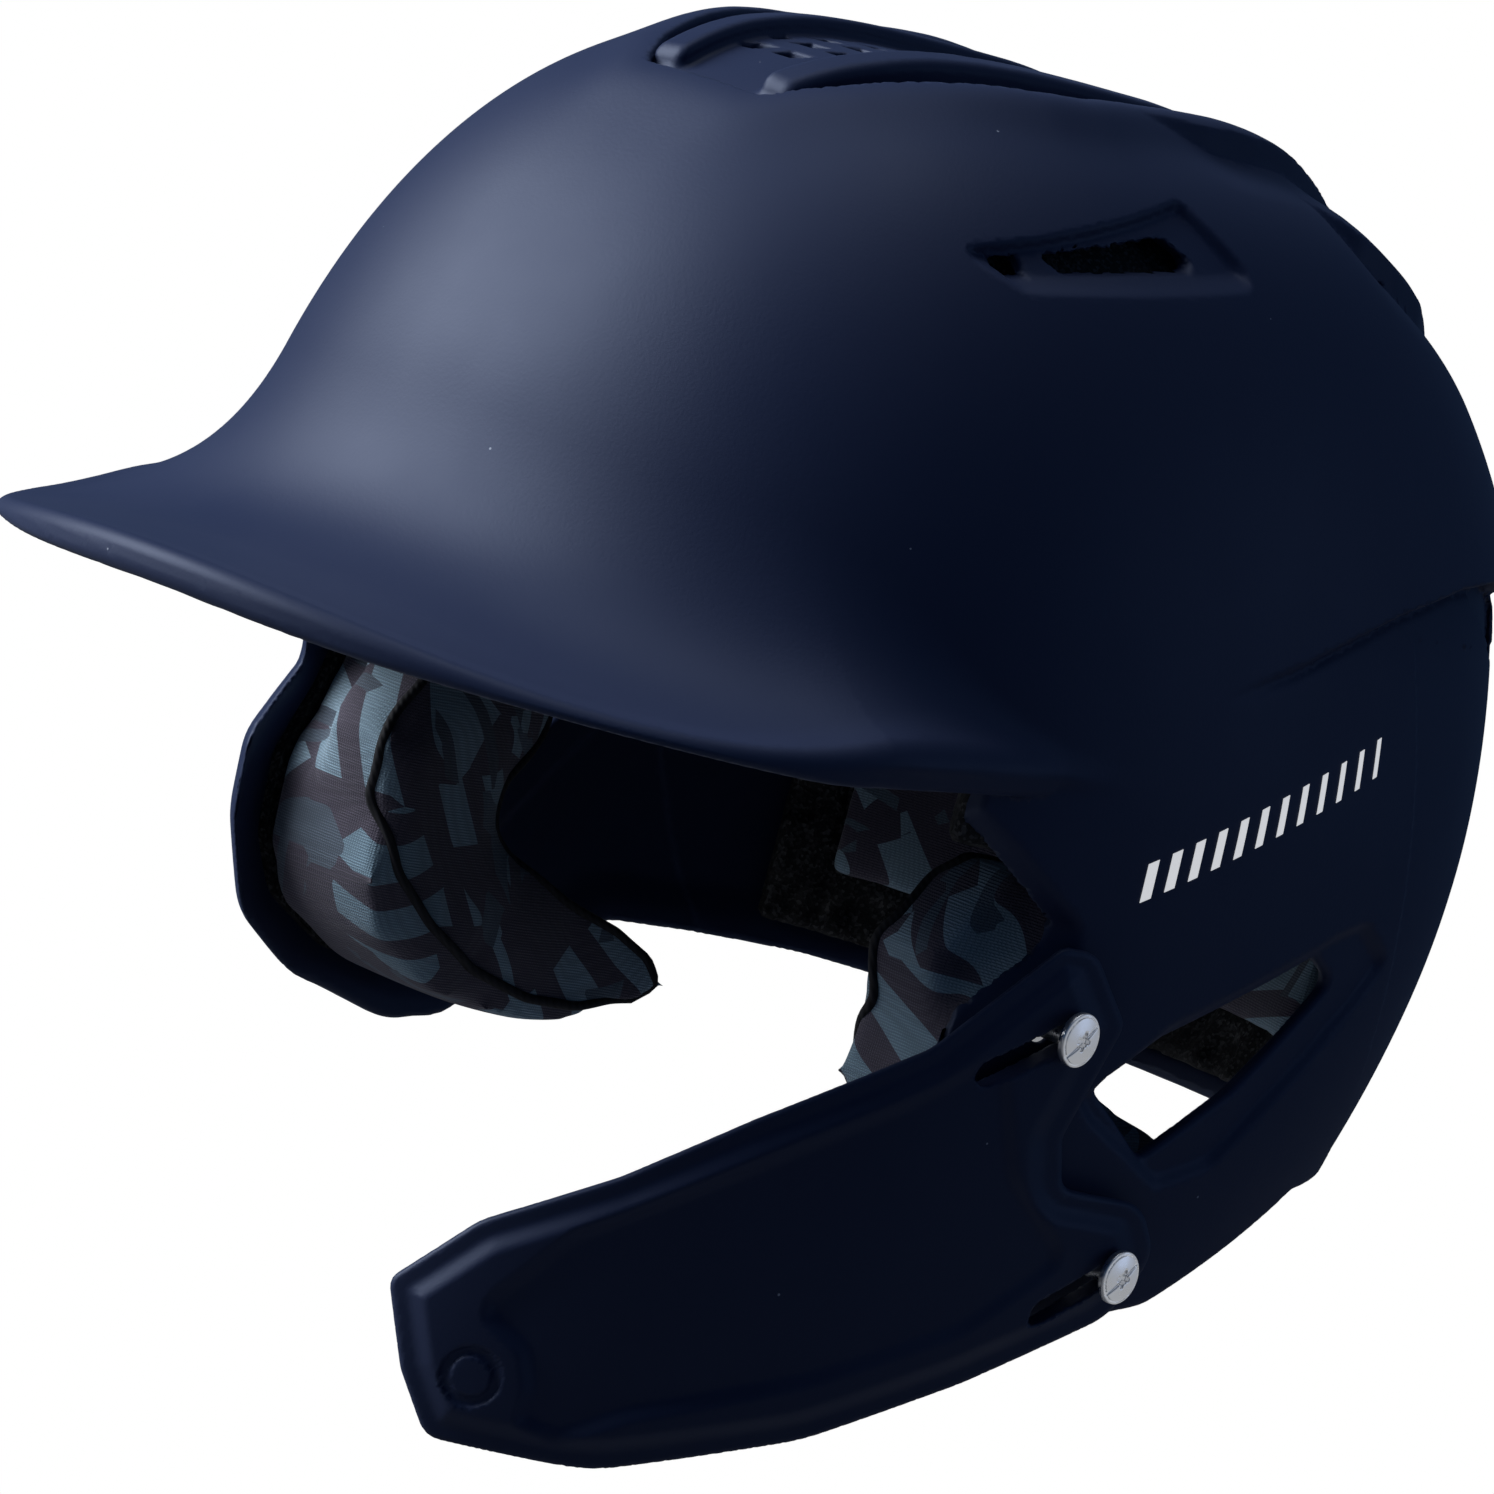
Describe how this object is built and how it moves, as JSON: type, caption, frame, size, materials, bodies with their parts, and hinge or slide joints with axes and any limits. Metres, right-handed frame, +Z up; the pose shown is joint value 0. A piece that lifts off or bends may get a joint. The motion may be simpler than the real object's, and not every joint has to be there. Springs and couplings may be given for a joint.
{
  "type": "batting helmet",
  "caption": "Batting helmet with brim, ear flaps with ear holes, vented crown, padded liner and a sliding jaw guard held by screws on the left flap.",
  "frame": {"origin": "head seat: on the symmetry plane, in the plane of the widest ring of the dome, where the head sits", "axes": "+Z up as worn, -Y towards the brim, +X towards the wearer's left, the jaw guard's side"},
  "size_m": [0.2002, 0.308, 0.243],
  "materials": {
    "shell_plastic": "matte navy moulded plastic",
    "grille_plastic": "matte navy moulded plastic",
    "liner_foam": "speckled closed-cell foam",
    "pad_fabric": "printed woven fabric",
    "guard_fabric": "dark heather fabric",
    "screw_metal": "bright plated steel"
  },
  "bodies": {
    "helmet": {"shell": "shell_plastic", "crown_grille": "grille_plastic", "front_liner": "liner_foam", "left_liner": "liner_foam", "right_liner": "liner_foam", "rear_liner": "liner_foam", "crown_liner": "liner_foam", "brow_pad": "pad_fabric", "crown_pad": "pad_fabric", "left_temple_pad": "pad_fabric", "right_temple_pad": "pad_fabric", "rear_pad": "pad_fabric", "left_ear_pad": "pad_fabric", "right_ear_pad": "pad_fabric", "left_ear_pad_backing": "liner_foam", "right_ear_pad_backing": "liner_foam", "guard_nut_upper": "screw_metal", "guard_nut_lower": "screw_metal"},
    "guard": {"jaw_guard": "shell_plastic", "jaw_guard_pad": "guard_fabric"},
    "upper_screw": {"guard_screw_upper": "screw_metal"},
    "lower_screw": {"guard_screw_lower": "screw_metal"}
  },
  "joints": [
    {"name": "guard_slide", "type": "slide", "parent": "helmet", "child": "guard", "axis": [0.08, 0.8359, 0.543], "range_m": [0, 0.016]},
    {"name": "upper_screw_turn", "type": "hinge", "parent": "helmet", "child": "upper_screw", "pos_m": [0.1, -0.047, -0.037], "axis": [1, 0, 0], "continuous": true},
    {"name": "lower_screw_turn", "type": "hinge", "parent": "helmet", "child": "lower_screw", "pos_m": [0.1, -0.015, -0.0775], "axis": [1, 0, 0], "continuous": true}
  ]
}
